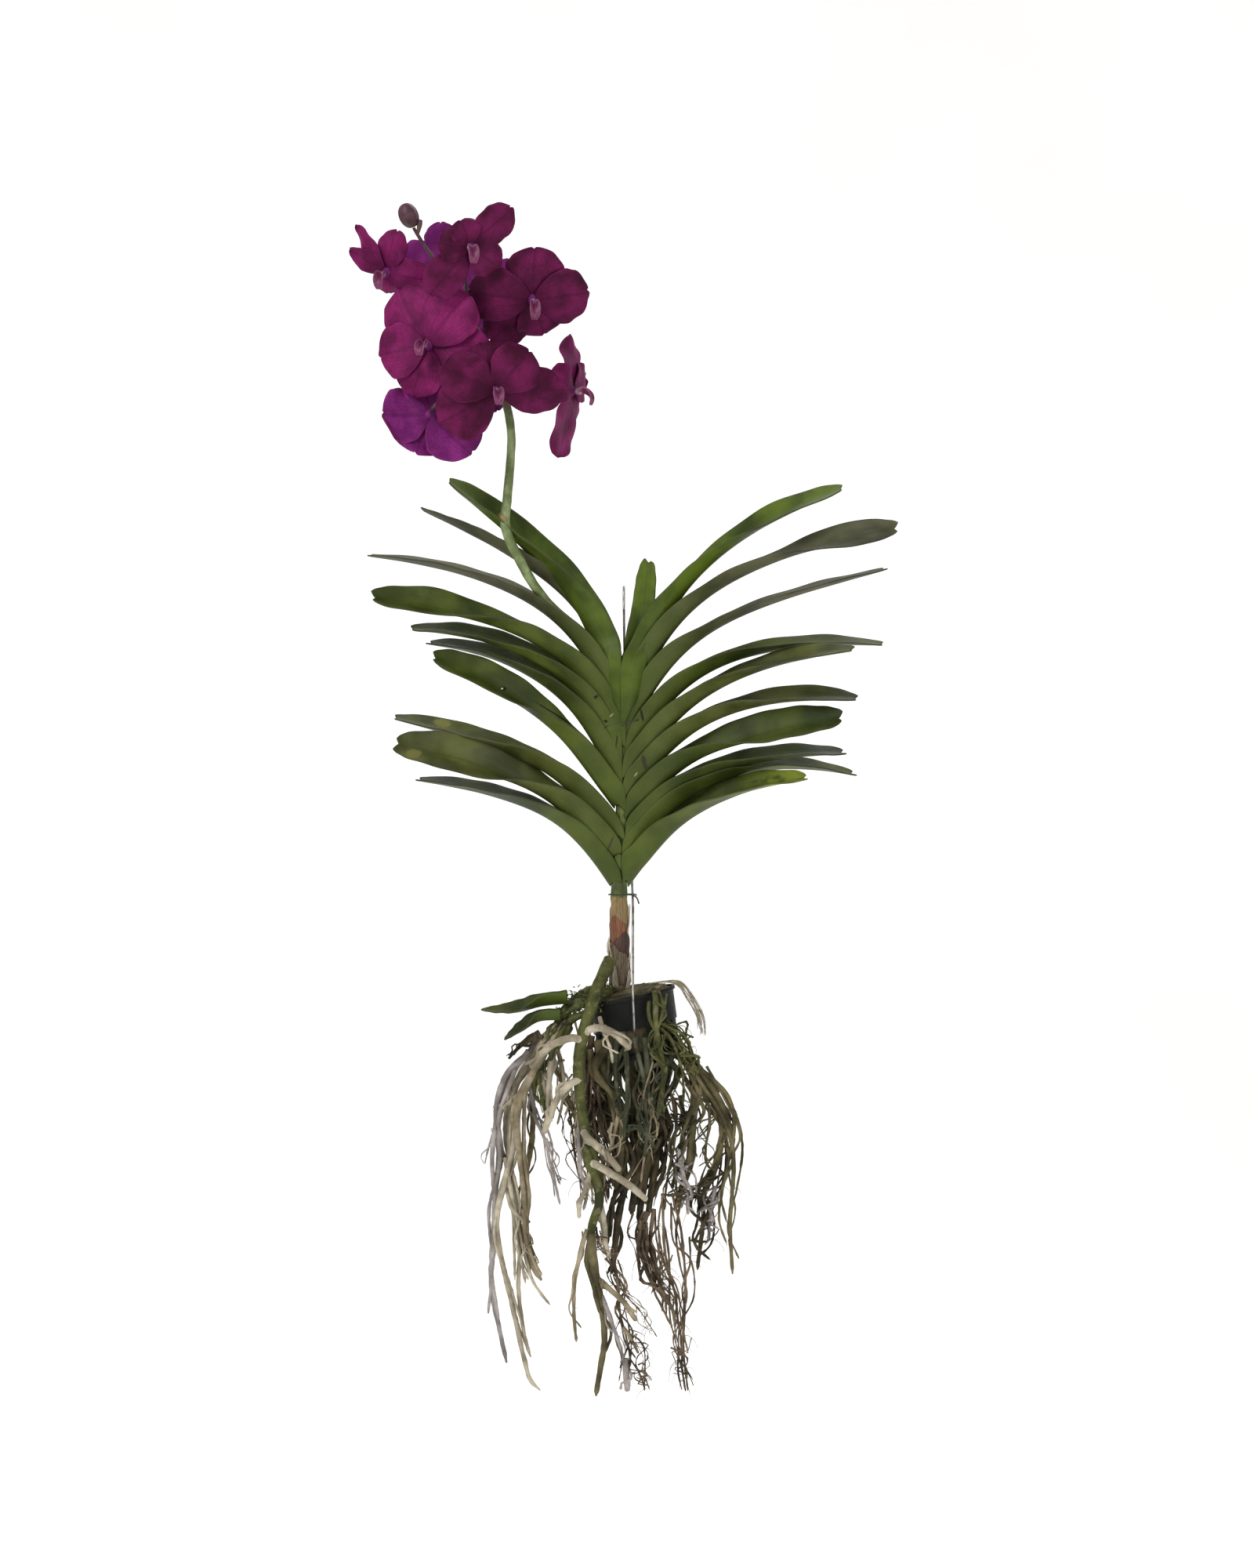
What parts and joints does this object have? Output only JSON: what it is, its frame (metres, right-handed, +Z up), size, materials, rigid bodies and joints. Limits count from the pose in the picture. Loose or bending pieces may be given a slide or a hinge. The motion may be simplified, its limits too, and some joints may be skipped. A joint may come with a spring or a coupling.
{
  "type": "vanda orchid",
  "caption": "Vanda orchid hung by a wire hook, with a fan of strap leaves, a spike of dark magenta blooms, and long bare roots round a small black net basket.",
  "frame": {"origin": "the seat of the hanger's hook, at the inner top of its bend, where a rail or peg carries the plant", "axes": "+Z up along the hanging plant; -Y is the side the blooms face; the fan of leaves spreads along X"},
  "size_m": [0.4515, 0.1512, 0.9932],
  "materials": {
    "stem": "satin, papery sheaths",
    "leaf": "waxy satin",
    "young_leaf": "waxy satin",
    "spike": "satin",
    "tepal": "velvety matte",
    "lip": "matte",
    "bud": "matte",
    "basket_plastic": "matte moulded",
    "wire_steel": "galvanised",
    "tie_wire": "dark green coating",
    "dark_root": "matte",
    "pale_root": "matte, velamen",
    "mossy_root": "matte, mossy",
    "fine_root": "matte",
    "dry_fibre": "matte"
  },
  "bodies": {
    "root": {"stem": "stem", "leaf_left_1": "leaf", "leaf_left_2": "leaf", "leaf_left_3": "leaf", "leaf_left_4": "leaf", "leaf_left_5": "leaf", "leaf_left_6": "leaf", "leaf_left_7": "leaf", "leaf_left_8": "leaf", "leaf_left_9": "leaf", "leaf_left_10": "leaf", "leaf_right_1": "leaf", "leaf_right_2": "leaf", "leaf_right_3": "leaf", "leaf_right_4": "leaf", "leaf_right_5": "leaf", "leaf_right_6": "leaf", "leaf_right_7": "leaf", "leaf_right_8": "leaf", "leaf_right_9": "leaf", "leaf_right_10": "leaf", "leaf_centre": "young_leaf", "leaf_offset_1": "leaf", "leaf_offset_2": "leaf", "flower_spike": "spike", "bloom_1": "tepal", "lip_1": "lip", "bloom_2": "tepal", "lip_2": "lip", "bloom_3": "tepal", "lip_3": "lip", "bloom_4": "tepal", "lip_4": "lip", "bloom_5": "tepal", "lip_5": "lip", "bloom_6": "tepal", "lip_6": "lip", "bloom_7": "tepal", "lip_7": "lip", "bloom_8": "tepal", "lip_8": "lip", "bloom_9": "tepal", "lip_9": "lip", "bloom_10": "tepal", "lip_10": "lip", "bud": "bud", "basket": "basket_plastic", "hanger_wire": "wire_steel", "tie_upper": "tie_wire", "tie_lower": "tie_wire", "root_mass": "dark_root", "roots_left": "pale_root", "root_thick": "mossy_root", "roots_fine": "fine_root", "fibre_wisp": "dry_fibre"}
  },
  "joints": []
}
